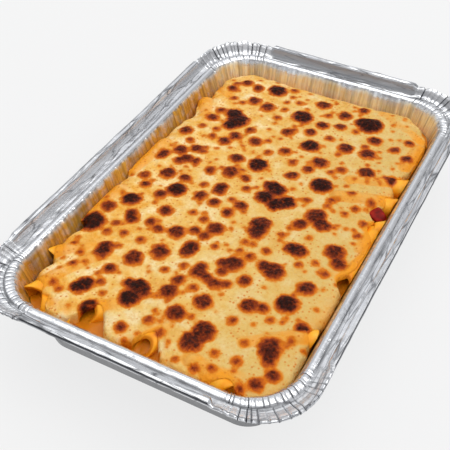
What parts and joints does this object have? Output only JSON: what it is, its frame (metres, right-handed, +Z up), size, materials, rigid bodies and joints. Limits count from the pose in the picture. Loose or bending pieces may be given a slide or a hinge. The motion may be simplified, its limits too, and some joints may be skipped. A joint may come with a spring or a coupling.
{
  "type": "foil tray meal",
  "caption": "Takeaway meal of baked penne under a thick, blistered brown cheese topping, in a rectangular pressed foil tray with a hemmed rim",
  "frame": {"origin": "centre of the tray's flat underside, on the surface it rests on", "axes": "X runs across the tray's short side, Y along its long side, Z points up, out of the tray's mouth"},
  "size_m": [0.1582, 0.244, 0.0435],
  "materials": {
    "foil": "bright pressed foil, pleated and creased",
    "pasta": "food: cooked pasta coated in an orange tomato and cheese sauce",
    "cheese": "food: melted cheese, pale yellow, with brown to black blisters",
    "pepper": "food: wet red pepper"
  },
  "bodies": {
    "root": {"foil_tray": "foil", "penne_in_sauce": "pasta", "cheese_topping": "cheese", "red_pepper": "pepper"}
  },
  "joints": []
}
